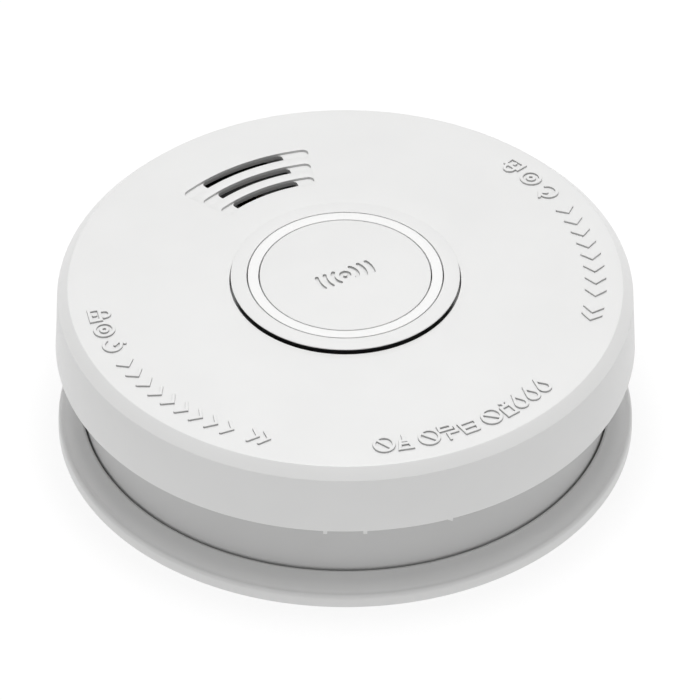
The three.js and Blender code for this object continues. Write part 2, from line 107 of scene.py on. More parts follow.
BEZEL_RADIUS = reach("button_bezel")
BEZEL_EDGE = 39.94
BUTTON_TOP = high("light_ring")
CROWN_TOP = high("button_cap")

CELL_Z = 11  # the battery cell's axis, along X


def face_height(radius):
    """The height of the cover's slightly coned face."""
    return WELL_HEIGHT - FACE_SLOPE * (radius - WELL_RADIUS)


# ---- Mesh helpers ------------------------------------------------------------------------------


def polar(radius, degrees):
    """A point in plan, from its distance and its angle."""
    angle = math.radians(degrees)
    return Vector((radius * math.cos(angle), radius * math.sin(angle)))


def finished(name, bm, material=None, smooth=True):
    """A bmesh as an object in the scene, with outward normals and creases kept sharp."""
    bmesh.ops.remove_doubles(bm, verts=bm.verts, dist=1e-7)
    bmesh.ops.recalc_face_normals(bm, faces=bm.faces)
    mesh = bpy.data.meshes.new(name)
    bm.to_mesh(mesh)
    bm.free()
    made = bpy.data.objects.new(name, mesh)
    bpy.context.scene.collection.objects.link(made)
    if smooth:
        mesh.shade_smooth()
        mesh.set_sharp_from_angle(angle=SHARP_ANGLE)
    if material:
        mesh.materials.append(material)
    return made


def rounded(corners):
    """A closed outline of (across, up, fillet) corners as points, each fillet an arc."""
    points = []
    for i, (across, up, fillet) in enumerate(corners):
        here = Vector((across, up))
        if fillet == 0:
            points.append(here)
            continue
        before = (Vector(corners[i - 1][:2]) - here).normalized()
        after = (Vector(corners[(i + 1) % len(corners)][:2]) - here).normalized()
        half = before.angle(after) / 2
        centre = here + (before + after).normalized() * fillet / math.sin(half)
        start = here + before * fillet / math.tan(half) - centre
        end = here + after * fillet / math.tan(half) - centre
        for step in range(FILLET_STEPS + 1):
            points.append(centre + start.lerp(end, step / FILLET_STEPS).normalized() * fillet)
    return points


def ring_at(points, z):
    """Plan points in millimetres as places in metres at a height."""
    return [(p[0] * MM, p[1] * MM, z * MM) for p in points]


def round_plan(radius, segments, centre=(0, 0)):
    return [polar(radius, 360 * k / segments) + Vector(centre) for k in range(segments)]


def lathe(bm, corners, segments=FINE):
    """Turns an outline of (radius, z, fillet) corners about +Z. It closes on itself or on the axis."""
    rings = []
    for radius, z in rounded(corners):
        if radius < 1e-6:
            rings.append([bm.verts.new((0, 0, z * MM))])
            continue
        rings.append([bm.verts.new(p) for p in ring_at(round_plan(radius, segments), z)])
    for i, lower in enumerate(rings):
        upper = rings[(i + 1) % len(rings)]
        if len(lower) == 1 and len(upper) == 1:
            continue
        for k in range(segments):
            n = (k + 1) % segments
            corner_verts = [lower[k % len(lower)], lower[n % len(lower)]]
            corner_verts += [upper[n % len(upper)], upper[k % len(upper)]]
            bm.faces.new(list(dict.fromkeys(corner_verts)))


def stacked(bm, levels, closed_ends=True):
    """Joins rings of points, one above the other, into a closed solid. Every ring has as many points."""
    rings = [[bm.verts.new(p) for p in level] for level in levels]
    for lower, upper in zip(rings, rings[1:]):
        for k in range(len(lower)):
            n = (k + 1) % len(lower)
            bm.faces.new((lower[k], lower[n], upper[n], upper[k]))
    if closed_ends:
        fill(bm, list(reversed(rings[0])))
        fill(bm, rings[-1])


def fill(bm, ring):
    """Closes a ring with a ladder of quads, from its first and last points to its middle."""
    first, last = 0, len(ring) - 1
    while last - first > 2:
        bm.faces.new((ring[first], ring[first + 1], ring[last - 1], ring[last]))
        first, last = first + 1, last - 1
    if last - first == 2:
        bm.faces.new((ring[first], ring[first + 1], ring[last]))


def prism(bm, outline, bottom, top):
    stacked(bm, [ring_at(outline, z) for z in (bottom, top)])


def turned(points, degrees):
    spin = Matrix.Rotation(math.radians(degrees), 2)
    return [spin @ Vector(p) for p in points]


def block(bm, low_corner, high_corner, turn=0.0):
    """A box between two corners, turned about the axis."""
    x0, y0, z0 = low_corner
    x1, y1, z1 = high_corner
    prism(bm, turned(((x0, y0), (x1, y0), (x1, y1), (x0, y1)), turn), z0, z1)


def rod(bm, radius, bottom, top, at=(0, 0), chamfer=0.0):
    """A round post standing at a place, with a chamfer at its upper end if one is given."""
    levels = [(radius, bottom), (radius, top - chamfer)]
    if chamfer:
        levels.append((radius - chamfer, top))
    stacked(bm, [ring_at(round_plan(size, SMALL, at), z) for size, z in levels])


def rod_along_x(bm, radius, half_length, y, z):
    """A round pin along X, with its middle at X = 0."""
    ring = round_plan(radius, SMALL, (y, z))
    ends = (-half_length, half_length)
    stacked(bm, [[(x * MM, p.x * MM, p.y * MM) for p in ring] for x in ends])


def rounded_plan(low_corner, high_corner, corner, grow=0.0):
    """The plan of a rectangle with round corners, grown all round by a margin."""
    (x0, y0), (x1, y1) = low_corner, high_corner
    centres = ((x1, y0, -1, 1), (x1, y1, -1, -1), (x0, y1, 1, -1), (x0, y0, 1, 1))
    plan = []
    for quarter, (x, y, inward_x, inward_y) in enumerate(centres):
        centre = Vector((x + inward_x * corner, y + inward_y * corner))
        angles = [90 * (quarter - 1) + 90 * k / CORNER_STEPS for k in range(CORNER_STEPS + 1)]
        plan += [centre + polar(corner + grow, a) for a in angles]
    return plan


def layered(bm, plan_at, levels):
    """A solid whose plan is plan_at(grow) at each (grow, z) level."""
    stacked(bm, [ring_at(plan_at(grow), z) for grow, z in levels])


def sector(inner, outer, start, end, steps=16):
    """The plan of a band about the axis between two angles."""
    angles = [start + (end - start) * k / steps for k in range(steps + 1)]
    return [polar(outer, a) for a in angles] + [polar(inner, a) for a in reversed(angles)]


LEAST_WIDTH = 0.02  # keeps a slot's two sides apart at its very ends


def bent_slot(middle, half_width, start, end, corner, grow=0.0, steps=28):
    """The plan of a slot bent about the axis, with round corners, and grown all round by a margin."""
    centre = (start + end) / 2
    half = half_width + grow
    rounding = corner + grow
    half_length = math.radians(end - start) / 2 * middle + grow
    straight = half_length - rounding
    stations = []
    for k in range(CORNER_STEPS):
        bend = math.pi / 2 * k / CORNER_STEPS
        along = -straight - rounding * math.cos(bend)
        stations.append((along, half - rounding + rounding * math.sin(bend)))
    stations += [(-straight + 2 * straight * k / steps, half) for k in range(steps + 1)]
    stations += [(-s, w) for s, w in reversed(stations[:CORNER_STEPS])]
    stations = [(s, max(w, LEAST_WIDTH)) for s, w in stations]
    outer = [polar(middle + w, centre + math.degrees(s / middle)) for s, w in stations]
    inner = [polar(middle - w, centre + math.degrees(s / middle)) for s, w in reversed(stations)]
    return outer + inner


def sunk(bm, plan_at, edge, depth, surface):
    """A cutter that follows a surface, its upper edge rounded. plan_at(grow) gives its outline."""
    levels = []
    rounding = [(edge, 0.0), (edge * 0.4, edge * 0.25), (0.0, edge)]
    for grow, down in [(edge + 0.4, -0.4), *rounding, (0.0, depth)]:
        plan = plan_at(grow)
        levels.append([(p.x * MM, p.y * MM, (surface(p.length) - down) * MM) for p in plan])
    stacked(bm, levels)


def separate(bm):
    """The closed solids that a bmesh holds, as one bmesh each."""
    seen = set()
    parts = []
    for seed in bm.verts:
        if seed in seen:
            continue
        group, border = [seed], [seed]
        seen.add(seed)
        while border:
            vert = border.pop()
            for edge in vert.link_edges:
                other = edge.other_vert(vert)
                if other not in seen:
                    seen.add(other)
                    group.append(other)
                    border.append(other)
        part = bmesh.new()
        copies = {vert: part.verts.new(vert.co) for vert in group}
        faces = dict.fromkeys(face for vert in group for face in vert.link_faces)
        for face in faces:
            part.faces.new([copies[vert] for vert in face.verts])
        parts.append(part)
    bm.free()
    return parts


def combine(target, other, operation):
    """Applies one boolean with a closed solid, and deletes it."""
    modifier = target.modifiers.new("boolean", "BOOLEAN")
    modifier.operation = operation
    modifier.object = other
    modifier.solver = "MANIFOLD"
    evaluated = target.evaluated_get(bpy.context.evaluated_depsgraph_get())
    mesh = bpy.data.meshes.new_from_object(evaluated)
    target.modifiers.clear()
    old = target.data
    target.data = mesh
    spare = other.data
    bpy.data.objects.remove(other)
    bpy.data.meshes.remove(spare)
    name = old.name
    bpy.data.meshes.remove(old)
    mesh.name = name


def boolean(target, cutter_bm, operation):
    """Cuts or joins with everything that a bmesh holds, solid by solid."""
    bmesh.ops.triangulate(cutter_bm, faces=cutter_bm.faces)
    cutter, *others = [finished("cutter", part, smooth=False) for part in separate(cutter_bm)]
    for other in others:
        combine(cutter, other, "UNION")
    combine(target, cutter, operation)
    target.data.shade_smooth()
    target.data.set_sharp_from_angle(angle=SHARP_ANGLE)


def cut(target, cutter_bm):
    boolean(target, cutter_bm, "DIFFERENCE")


def join(target, other_bm):
    boolean(target, other_bm, "UNION")


replaced_nodes = set()


def settle(piece, body, slot, *replaced):
    """Says what a finished piece rides on and which CAD nodes it stands for; the slot argument, its
    finish, is not used.
    """
    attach(piece, body)
    if replaced:
        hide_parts(*replaced)
        replaced_nodes.update(replaced)


def circle(x, y, radius, steps=32):
    """A closed round path."""
    return [tuple(Vector((x, y)) + polar(radius, 360 * k / steps)) for k in range(steps)]


def arc(x, y, radius, start, end, steps=14):
    """An open round path between two angles."""
    angles = [start + (end - start) * k / steps for k in range(steps + 1)]
    return [tuple(Vector((x, y)) + polar(radius, a)) for a in angles]


END_BENDS = [math.radians(18 * k) for k in range(1, 6)]  # the round ends of a stroke


def stroke(bm, path, place, levels, closed=False):
    """Sweeps (half width, height) levels along a path. place(x, y, height) puts a point on the piece."""
    points = [Vector(p) for p in path]
    last = len(points) - 1
    stations = []
    for i, point in enumerate(points):
        before = points[i - 1] if closed or i > 0 else None
        after = points[(i + 1) % len(points)] if closed or i < last else None
        incoming = (point - before).normalized() if before else None
        outgoing = (after - point).normalized() if after else incoming
        along = ((incoming or outgoing) + outgoing).normalized()
        side = Vector((-along.y, along.x)) / max(along.dot(outgoing), 0.5)
        if before is None:
            bends = reversed(END_BENDS)
            stations += [(point, along, side, -math.sin(b), math.cos(b)) for b in bends]
        stations.append((point, along, side, 0.0, 1.0))
        if after is None:
            stations += [(point, along, side, math.sin(b), math.cos(b)) for b in END_BENDS]
    rings = []
    for point, along, side, ahead, across in stations:
        sides = [(-1, half, height) for half, height in levels]
        sides += [(1, half, height) for half, height in reversed(levels)]
        ring = []
        for sign, half, height in sides:
            at = point + along * ahead * half + side * sign * across * half
            ring.append(bm.verts.new(place(at.x, at.y, height)))
        rings.append(ring)
    pairs = list(zip(rings, rings[1:]))
    if closed:
        pairs.append((rings[-1], rings[0]))
    for lower, upper in pairs:
        for k in range(len(lower)):
            n = (k + 1) % len(lower)
            bm.faces.new((lower[k], lower[n], upper[n], upper[k]))


# ---- Materials ---------------------------------------------------------------------------------


def material(name, color, roughness, metallic=0.0, **sockets):
    """A plain surface. Other sockets are given by name, with _ for a space."""
    made = bpy.data.materials.new(name)
    made.use_nodes = True
    shader = made.node_tree.nodes["Principled BSDF"]
    shader.inputs["Base Color"].default_value = (*color, 1)
    shader.inputs["Roughness"].default_value = roughness
    shader.inputs["Metallic"].default_value = metallic
    for socket, value in sockets.items():
        shader.inputs[socket.replace("_", " ")].default_value = value
    return made


def position_noise(tree, scale, detail=4.0):
    """A noise over object coordinates, with features about 1/scale metres across."""
    place = tree.nodes.new("ShaderNodeTexCoord")
    noise = tree.nodes.new("ShaderNodeTexNoise")
    noise.inputs["Scale"].default_value = scale
    noise.inputs["Detail"].default_value = detail
    noise.inputs["Roughness"].default_value = 0.55
    tree.links.new(place.outputs["Object"], noise.inputs["Vector"])
    return noise.outputs["Fac"]


def ramp(tree, source, low_value, high_value):
    """Maps a noise's usual range, 0.3 to 0.7, to a range of values."""
    mapped = tree.nodes.new("ShaderNodeMapRange")
    mapped.inputs["From Min"].default_value = 0.3
    mapped.inputs["From Max"].default_value = 0.7
    mapped.inputs["To Min"].default_value = low_value
    mapped.inputs["To Max"].default_value = high_value
    tree.links.new(source, mapped.inputs["Value"])
    return mapped.outputs["Result"]


def vary_color(made, scale, amount, detail=4.0):
    """Varies the base colour's brightness by a small amount over the surface."""
    tree = made.node_tree
    shader = tree.nodes["Principled BSDF"]
    base = shader.inputs["Base Color"].default_value[:]
    noise = position_noise(tree, scale, detail)
    blend = tree.nodes.new("ShaderNodeMix")
    blend.data_type = "RGBA"
    blend.inputs["A"].default_value = [c * (1 - amount) for c in base[:3]] + [1]
    blend.inputs["B"].default_value = [min(c * (1 + amount), 1) for c in base[:3]] + [1]
    tree.links.new(ramp(tree, noise, 0, 1), blend.inputs["Factor"])
    tree.links.new(blend.outputs["Result"], shader.inputs["Base Color"])


def vary_roughness(made, scale, amount, detail=4.0):
    """Varies the gloss over the surface."""
    tree = made.node_tree
    gloss = tree.nodes["Principled BSDF"].inputs["Roughness"]
    low_value, high_value = gloss.default_value - amount, gloss.default_value + amount
    noise = position_noise(tree, scale, detail)
    tree.links.new(ramp(tree, noise, low_value, high_value), gloss)


def bump(made, *layers):
    """Adds bump layers of (scale, height in metres, detail), one on top of the other."""
    tree = made.node_tree
    shader = tree.nodes["Principled BSDF"]
    normal = None
    for scale, height, detail in layers:
        noise = position_noise(tree, scale, detail)
        layer = tree.nodes.new("ShaderNodeBump")
        layer.inputs["Strength"].default_value = 1.0
        layer.inputs["Distance"].default_value = height
        tree.links.new(noise, layer.inputs["Height"])
        if normal:
            tree.links.new(normal, layer.inputs["Normal"])
        normal = layer.outputs["Normal"]
    tree.links.new(normal, shader.inputs["Normal"])


def moulded(name, color, roughness, grain=3000, grain_height=0.000006):
    """Injection-moulded plastic: a fine spark texture, faint flow shading and slightly uneven gloss."""
    made = material(name, color, roughness)
    vary_color(made, 60, 0.012, detail=2.0)
    vary_roughness(made, 900, 0.05, detail=3.0)
    bump(made, (grain, grain_height, 3.0), (45, 0.00004, 1.0))
    return made


def metal(name, color, roughness):
    """Rolled or drawn metal with a fine grain and uneven gloss."""
    made = material(name, color, roughness, metallic=1.0)
    vary_color(made, 500, 0.06)
    vary_roughness(made, 2000, 0.09)
    bump(made, (4000, 0.000003, 4.0))
    return made


WHITE = (0.80, 0.80, 0.795)
paint = {
    "shell_plastic": moulded("shell_plastic", WHITE, 0.34),
    "bracket_plastic": moulded("bracket_plastic", (0.81, 0.81, 0.805), 0.38),
    # Painted shade: a darker copy of the shell's white plastic for the drum, standing in for the shade
    # under the skirt's overhang.
    "housing_painted_shade": moulded("housing_painted_shade", (0.60, 0.60, 0.597), 0.5),
    "button_plastic": moulded("button_plastic", WHITE, 0.42, grain=3600, grain_height=0.000004),
    # Painted shade: a darker grey for the walls of the sounder's slots, which lie in shade.
    "slot_painted_shade": moulded("slot_painted_shade", (0.54, 0.54, 0.538), 0.6),
    # Painted shade: a darker grey for the sides of the raised marks and the walls of the engraved sign.
    "mark_painted_shade": moulded("mark_painted_shade", (0.42, 0.42, 0.418), 0.5),
    "light_guide": moulded("light_guide", (0.89, 0.89, 0.885), 0.4, 1500, 0.000001),
    "dark_plastic": moulded("dark_plastic", (0.012, 0.012, 0.012), 0.5),
    "circuit_laminate": moulded("circuit_laminate", (0.02, 0.12, 0.05), 0.35, grain=1200),
    "component_case": moulded("component_case", (0.02, 0.02, 0.023), 0.45),
    "red_lens": moulded("red_lens", (0.45, 0.02, 0.015), 0.12, grain_height=0.000001),
    "tinted_lens": moulded("tinted_lens", (0.02, 0.02, 0.04), 0.1, grain_height=0.000001),
    "foam": moulded("foam", (0.02, 0.02, 0.02), 0.95, grain=1500, grain_height=0.0001),
    "piezo_ceramic": moulded("piezo_ceramic", (0.62, 0.62, 0.6), 0.4, grain=5000),
    "cell_sleeve": moulded("cell_sleeve", (0.03, 0.09, 0.28), 0.3, grain_height=0.000002),
    "screen_steel": metal("screen_steel", (0.55, 0.57, 0.6), 0.35),
    "spring_steel": metal("spring_steel", (0.66, 0.67, 0.68), 0.28),
    "screw_steel": metal("screw_steel", (0.55, 0.56, 0.58), 0.32),
    "sounder_brass": metal("sounder_brass", (0.78, 0.58, 0.25), 0.3),
}


# ---- Top cover ---------------------------------------------------------------------------------

SLOT_CENTRE = 90 + UPPER_TURN
SLOT_MIDDLE_ANGLE = SLOT_CENTRE - 0.4  # the slots sit a little off the sounder's axis
SOUNDER_RADIUS = 38.6
LEG_ANGLES = [90, 210, 330]
LIGHT_LEG = 19.1
SLOT_MIDDLES = (43.43, 38.58, 33.83)
SLOT_HALF_WIDTH = 1.24
RECESS_HALF_ANGLES = (19.4, 18.9, 18.6)
THROUGH_HALF_ANGLES = (12.3, 12.5, 12.7)
RECESS_DEPTH = 0.58
SLOT_ZONE = (32, 45.5)  # the radii between which a steep face is a slot's wall
SLOT_ZONE_HALF_ANGLE = 22
SLOT_ZONE_BOTTOM = 35
MARK_ZONE = (48, 55)  # and those between which it is a mark's side
STEEP = 0.5  # the largest upward part of a steep face's normal
NUB_BAND = (58.6, 59.8)
NUB_BOTTOM = 20.1
NUB_ROOT = 21.5
STEM_HOLE = 2.9
FACE_RINGS = (54.6, 49.2, 46, 31.5)  # loops that part the marks, the slots and the plain face
SOUNDER_RIM = ((11.6, 33.1), (13, 33.1), (13, 36.8), (11.6, 36.8))  # radius and height

# Moulded pictograms stand on the face: one band round the rim for each thing to know. A path is in
# millimetres along the band, anticlockwise, and inward from its middle.

MARK_RADIUS = 51.9
LOOSEN_START = 188.5
PAINT_BAN_START = 276.8
TIGHTEN_START = -11.8
ICON_SIZE = 1.15
RAISED_STROKE = [(0.35, -0.25), (0.34, 0.02), (0.32, 0.38), (0.25, 0.46)]


def chevron(x, way, size):
    tip, half = 0.75 * way * size, 1.7 * size
    return [([(x - tip, half), (x + tip, 0), (x - tip, -half)], False)]


def padlock(x, is_open):
    body = [(x - 1.45, -1.7), (x + 1.45, -1.7), (x + 1.45, 0.15), (x - 1.45, 0.15)]
    lift = 0.3 if is_open else 0.0
    shackle = [(x - 0.9, 0.15)] + arc(x, 0.75 + lift, 0.9, 180, 0)
    shackle.append((x + 0.9, 0.75 if is_open else 0.15))
    return [(body, True), (shackle, False), ([(x, -0.6), (x, -0.95)], False)]


def alarm_sign(x):
    """The alarm seen from below, with its button."""
    return [(circle(x, 0, 1.72), True), (circle(x, 0, 0.62, 16), True)]


def turn_sign(x, way):
    """Three quarters of a circle with an arrowhead. way is 1 for anticlockwise and -1 for clockwise."""
    ring = [(x + way * px, py) for px, py in arc(0, 0, 1.6, 200, 470, 26)]
    end = Vector(ring[-1])
    head = [tuple(end + Vector(d)) for d in ((way * 1.05, 0.75), (0, 0), (way * 0.75, -1.1))]
    return [(ring, False), (head, False)]


def no_sign(x):
    slash = [tuple(Vector((x, 0)) + polar(r, 135)) for r in (1.8, -1.8)]
    return [(circle(x, 0, 1.8), True), (slash, False)]


def brush(x):
    bristles = [(x - 0.75, 0.2), (x + 0.75, 0.2), (x + 1.15, -1.75), (x - 1.15, -1.75)]
    band = [(x - 0.9, -0.5), (x + 0.9, -0.5)]
    return [(bristles, True), ([(x, 0.2), (x, 1.8)], False), (band, False)]


def roller(x):
    sleeve = [(x - 1.5, 0.7), (x + 0.8, 0.7), (x + 0.8, 1.75), (x - 1.5, 1.75)]
    handle = [(x + 0.8, 1.2), (x + 1.5, 1.2), (x + 1.5, -0.3), (x - 0.3, -0.3), (x - 0.3, -1.8)]
    return [(sleeve, True), (handle, False)]


def tray(x):
    pan = [(x - 1.6, 0.9), (x - 1.2, -1.6), (x + 1.2, -1.6), (x + 1.6, 0.9)]
    return [(pan, True), ([(x - 1.35, -0.35), (x + 1.35, -0.35)], False)]


def spray_can(x):
    body = [(x - 0.95, -1.75), (x + 0.95, -1.75), (x + 0.95, 0.6), (x - 0.95, 0.6)]
    return [(body, True), ([(x, 0.6), (x, 1.5)], False), ([(x - 0.45, 1.7), (x + 0.6, 1.7)], False)]


def drop(x):
    low_curve = arc(x, -0.6, 1.05, 150, 390, 16)
    return [(low_curve + [(x, 1.7)], True)]


def placed(icon, x, *options):
    """An icon's paths enlarged about its own place in the band."""
    return [
        ([(x + (px - x) * ICON_SIZE, py * ICON_SIZE) for px, py in path], closed)
        for path, closed in icon(x, *options)
    ]


def marks(bm):
    """Turn left to take the alarm off, don't paint it, and turn right to lock it."""
    band = math.radians(1) * MARK_RADIUS
    loosen = placed(padlock, 2.0 * band, True) + placed(alarm_sign, 7.4 * band)
    loosen += placed(turn_sign, 13.2 * band, 1)
    for k in range(9):
        loosen += chevron((20.6 + 4.15 * k) * band, 1, 0.98 + 0.02 * k)
    loosen += chevron(60.2 * band, 1, 1.1) + chevron(62.9 * band, 1, 1.1)

    paint_ban = placed(no_sign, 1.9) + placed(brush, 6.2)
    paint_ban += placed(no_sign, 11.6) + placed(roller, 16.0) + placed(tray, 20.6)
    paint_ban += placed(no_sign, 26.2) + placed(spray_can, 30.3)
    for k in range(3):
        paint_ban += placed(drop, 33.7 + 3.5 * k)

    tighten = chevron(0.8 * band, -1, 1.1) + chevron(3.5 * band, -1, 1.1)
    for k in range(8):
        tighten += chevron((9.5 + 4.35 * k) * band, -1, 1.14 - 0.02 * k)
    tighten += placed(turn_sign, 47.8 * band, -1) + placed(alarm_sign, 54.0 * band)
    tighten += placed(padlock, 60.0 * band, False)

    bands = ((LOOSEN_START, loosen), (PAINT_BAN_START, paint_ban), (TIGHTEN_START, tighten))
    for start, icons in bands:
        def on_face(x, y, height, start=start):
            radius = MARK_RADIUS - y
            at = polar(radius, start + math.degrees(x / MARK_RADIUS))
            return (at.x * MM, at.y * MM, (face_height(radius) + height) * MM)

        for path, closed in icons:
            stroke(bm, path, on_face, RAISED_STROKE, closed)


def nubs(bm):
    """Two alignment nubs and a wedge under the skirt's front edge."""
    inner, outer = NUB_BAND
    for angle in (266, 274):
        block(bm, (inner, -0.4, NUB_BOTTOM), (outer, 0.4, NUB_ROOT), turn=angle)
    wedge = [polar(inner, 290.9), polar(outer, 290.9), polar(outer, 291.9), polar(inner, 291.9)]
    heights = (NUB_BOTTOM + 0.65, NUB_BOTTOM + 0.65, NUB_BOTTOM, NUB_BOTTOM)
    foot = [(p.x * MM, p.y * MM, z * MM) for p, z in zip(wedge, heights)]
    stacked(bm, [foot, ring_at(wedge, NUB_ROOT)])


def towers(bm):
    """Screw towers and the sounder's rim, under the face."""
    for angle in SCREW_ANGLES:
        rod(bm, 3, 23.5, face_height(SCREW_CIRCLE) - 1, at=polar(SCREW_CIRCLE, angle))
    centre = polar(SOUNDER_RADIUS, SLOT_CENTRE)
    rings = [ring_at(round_plan(radius, MEDIUM, centre), z) for radius, z in SOUNDER_RIM]
    stacked(bm, rings + rings[:1], closed_ends=False)


def shade_walls(piece, base, zones):
    """Gives the steep faces in each zone, a test of a face's middle in millimetres, a darker colour:
    painted shade on walls and sides that lie in shade.
    """
    piece.data.materials.clear()
    for finish in (base, *zones):
        piece.data.materials.append(paint[finish])
    for face in piece.data.polygons:
        steep = abs(face.normal.z) < STEEP
        found = [steep and inside(face.center / MM) for inside in zones.values()]
        face.material_index = found.index(True) + 1 if any(found) else 0


def in_slots(at):
    """Whether a point in millimetres is among the sounder's slots."""
    inner, outer = SLOT_ZONE
    azimuth = math.degrees(math.atan2(at.y, at.x))
    close = abs(azimuth - SLOT_CENTRE) < SLOT_ZONE_HALF_ANGLE
    return close and inner < at.xy.length < outer and at.z > SLOT_ZONE_BOTTOM


def in_marks(at):
    inner, outer = MARK_ZONE
    return inner < at.xy.length < outer and at.z > face_height(at.xy.length)


def top_cover():
    """The cover's shell, with its raised marks and the slots of the sounder."""
    well_outer = WELL_RADIUS + 1.6
    under = face_height(well_outer) - FACE_WALL
    bm = bmesh.new()
    lathe(
        bm,
        [
            (STEM_HOLE, WELL_FLOOR_BOTTOM, 0),
            (well_outer, WELL_FLOOR_BOTTOM, 0.3),
            (well_outer, under, 0.3),
            (FACE_RADIUS - 1, face_height(FACE_RADIUS - 1) - FACE_WALL, 0.6),
            (SHOULDER_RADIUS - SKIRT_WALL, SHOULDER_HEIGHT - 0.8, 0.6),
            (SKIRT_RADIUS - SKIRT_WALL, SKIRT_BOTTOM, 0.25),
            (SKIRT_RADIUS, SKIRT_BOTTOM, 0.3),
            (SHOULDER_RADIUS, SHOULDER_HEIGHT, 0.35),
            (FACE_RADIUS, FACE_HEIGHT, 0.4),
            *[(radius, face_height(radius), 0) for radius in FACE_RINGS],
            (WELL_WALL, WELL_HEIGHT, 0.08),
            (WELL_WALL, WELL_FLOOR_TOP, 0.3),
            (STEM_HOLE, WELL_FLOOR_TOP, 0.2),
        ],
    )
    cover = finished("cover_shell", bm, paint["shell_plastic"])

    raised = bmesh.new()
    marks(raised)
    nubs(raised)
    towers(raised)
    join(cover, raised)

    openings = bmesh.new()
    for middle, recess_half, through_half in zip(SLOT_MIDDLES, RECESS_HALF_ANGLES, THROUGH_HALF_ANGLES):
        def recess_plan(grow, middle=middle, half=recess_half):
            ends = (SLOT_MIDDLE_ANGLE - half, SLOT_MIDDLE_ANGLE + half)
            return bent_slot(middle, SLOT_HALF_WIDTH, *ends, SLOT_HALF_WIDTH - 0.02, grow)

        def through_plan(grow, middle=middle, half=through_half):
            ends = (SLOT_MIDDLE_ANGLE - half, SLOT_MIDDLE_ANGLE + half)
            return bent_slot(middle, SLOT_HALF_WIDTH - 0.03, *ends, 0.9, grow)

        sunk(openings, recess_plan, 0.06, RECESS_DEPTH, face_height)
        layered(openings, through_plan, [(0, 34.4), (0, 39.5)])
    for angle in SCREW_ANGLES:
        rod(openings, 1.7, 20, 33.5, at=polar(SCREW_CIRCLE, angle))
    for angle in LEG_ANGLES:
        block(openings, (19, -2.8, 32), (21, 2.8, 36), turn=angle + UPPER_TURN)
    rod(openings, 1.9, 32, 36, at=polar(LIGHT_LEG, UPPER_TURN))
    cut(cover, openings)
    # Painted shade: the slot walls and the marks' sides take darker greys.
    shade_walls(cover, "shell_plastic", {"slot_painted_shade": in_slots, "mark_painted_shade": in_marks})
    settle(cover, HEAD, "shell_plastic", "top_cover")


top_cover()

# ---- Button ------------------------------------------------------------------------------------

DISC_BOTTOM = 39  # the underside of the bezel, lens and cap
CAP_RADIUS = 17.75
LENS_INNER = 18
LENS_OUTER = 20.2
BEZEL_INNER = 20.45
CUP_RADIUS = 22.6
CUP_FLOOR = 37.3
CUP_TOP = 38.7
SUNK_STROKE = [(0.34, -0.6), (0.40, -0.5), (0.42, 0.0), (0.44, 0.3)]
SIGN_TURN = 28
SIGN_REACH = 8
SOUND_WAVES = ((2.6, 42), (4.3, 25), (6.0, 17.5))  # radius and half angle


def in_sign(at):
    return at.xy.length < SIGN_REACH and at.z > DISC_BOTTOM + 0.2


def test_button():
    """The bezel, light ring and cap, each a piece of its own, and the carrier below."""
    bezel = bmesh.new()
    lathe(
        bezel,
        [
            (BEZEL_INNER, DISC_BOTTOM, 0),
            (CUP_RADIUS, DISC_BOTTOM, 0.1),
            (BEZEL_RADIUS, BEZEL_EDGE - 0.2, 0.06),
            (BEZEL_RADIUS, BEZEL_EDGE, 0.08),
            (BEZEL_INNER, BUTTON_TOP, 0.1),
        ],
    )
    bezel_ring = finished("bezel_ring", bezel, paint["button_plastic"])
    settle(bezel_ring, "test_button", "button_plastic", "button_bezel")

    lens = bmesh.new()
    section = [(LENS_INNER, DISC_BOTTOM, 0), (LENS_OUTER, DISC_BOTTOM, 0)]
    section += [(LENS_OUTER, BUTTON_TOP, 0.1), (LENS_INNER, BUTTON_TOP, 0.1)]
    lathe(lens, section)
    lens_ring = finished("light_ring_lens", lens, paint["light_guide"])
    leg = bmesh.new()
    rod(leg, 1.1, 27.8, DISC_BOTTOM + 0.4, at=polar(LIGHT_LEG, UPPER_TURN))
    join(lens_ring, leg)
    settle(lens_ring, "test_button", "light_guide", "light_ring")

    cap = bmesh.new()
    section = [(0, DISC_BOTTOM, 0), (CAP_RADIUS, DISC_BOTTOM, 0)]
    section += [(CAP_RADIUS, BUTTON_TOP, 0.1), (0, CROWN_TOP, 0)]
    lathe(cap, section)
    cap_disc = finished("cap_disc", cap, paint["button_plastic"])
    engraving = bmesh.new()
    sound_sign(engraving)
    cut(cap_disc, engraving)
    # Painted shade: the engraved sign's walls take the darker grey.
    shade_walls(cap_disc, "button_plastic", {"mark_painted_shade": in_sign})
    settle(cap_disc, "test_button", "button_plastic", "button_cap")
    carrier()


def sound_sign(bm):
    """The test button's sign: a sounder with three waves on each side."""
    def on_cap(x, y, height):
        at = polar(1, SIGN_TURN) * x + polar(1, SIGN_TURN + 90) * y
        crown = BUTTON_TOP + (CROWN_TOP - BUTTON_TOP) * (1 - at.length / CAP_RADIUS)
        return (at.x * MM, at.y * MM, (crown + height) * MM)

    stroke(bm, circle(0, 0, 0.85, 18), on_cap, SUNK_STROKE, closed=True)
    for side in (0, 180):
        for radius, half in SOUND_WAVES:
            stroke(bm, arc(0, 0, radius, side - half, side + half), on_cap, SUNK_STROKE)


